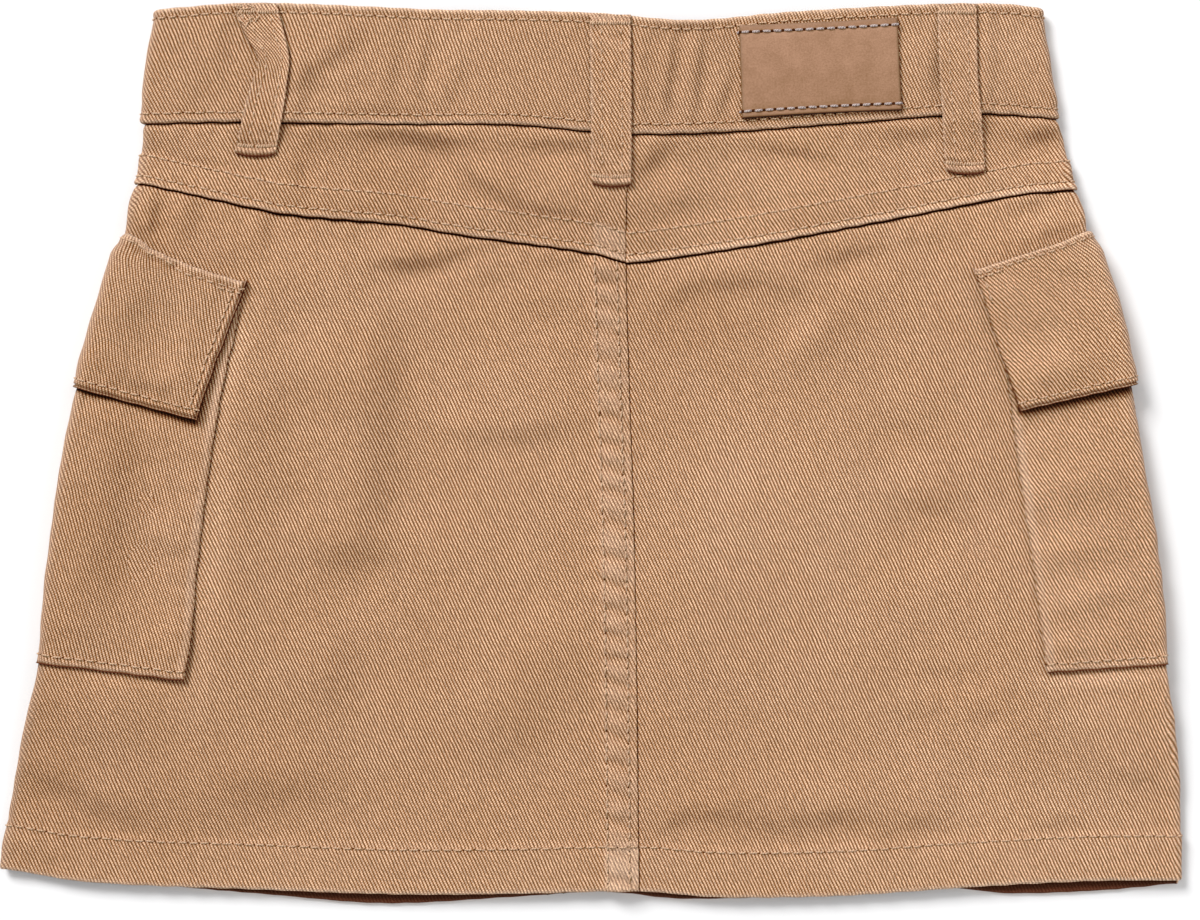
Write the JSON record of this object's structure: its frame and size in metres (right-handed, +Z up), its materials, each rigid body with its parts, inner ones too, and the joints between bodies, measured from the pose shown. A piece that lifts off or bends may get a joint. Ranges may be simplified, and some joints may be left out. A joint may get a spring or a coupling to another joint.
{
  "type": "cargo utility skirt",
  "caption": "Short cotton twill cargo skirt laid flat with its back up: waistband with belt loops, pointed yoke, felled centre seam and flapped side pockets.",
  "frame": {"origin": "middle of the bounding box, on the surface that the skirt lies on", "axes": "+X across the skirt to the right side fold as it lies with its back up, +Y from the hem to the waist, +Z up out of the back"},
  "size_m": [0.3653, 0.2788, 0.0119],
  "materials": {
    "panel_twill": "washed cotton twill, tan, fine slanting wale",
    "yoke_twill": "washed cotton twill, tan, cut across the panels' grain",
    "band_twill": "doubled cotton twill, tan, puckered along its stitching",
    "pocket_twill": "washed cotton twill, tan",
    "flap_twill": "doubled cotton twill, tan, worn pale at its edges",
    "loop_twill": "folded cotton twill strap, tan",
    "patch_leather": "smooth matt brown leather, bare",
    "button_plastic": "brown four-hole button"
  },
  "bodies": {
    "root": {"waistband": "band_twill", "yoke_left": "yoke_twill", "yoke_right": "yoke_twill", "back_left": "panel_twill", "back_right": "panel_twill", "front_left": "panel_twill", "front_right": "panel_twill", "pocket_left": "pocket_twill", "pocket_right": "pocket_twill", "flap_left": "flap_twill", "flap_right": "flap_twill", "loop_back_left": "loop_twill", "loop_back_center": "loop_twill", "loop_back_right": "loop_twill", "loop_front_left": "loop_twill", "loop_front_right": "loop_twill", "patch": "patch_leather", "button": "button_plastic"}
  },
  "joints": []
}
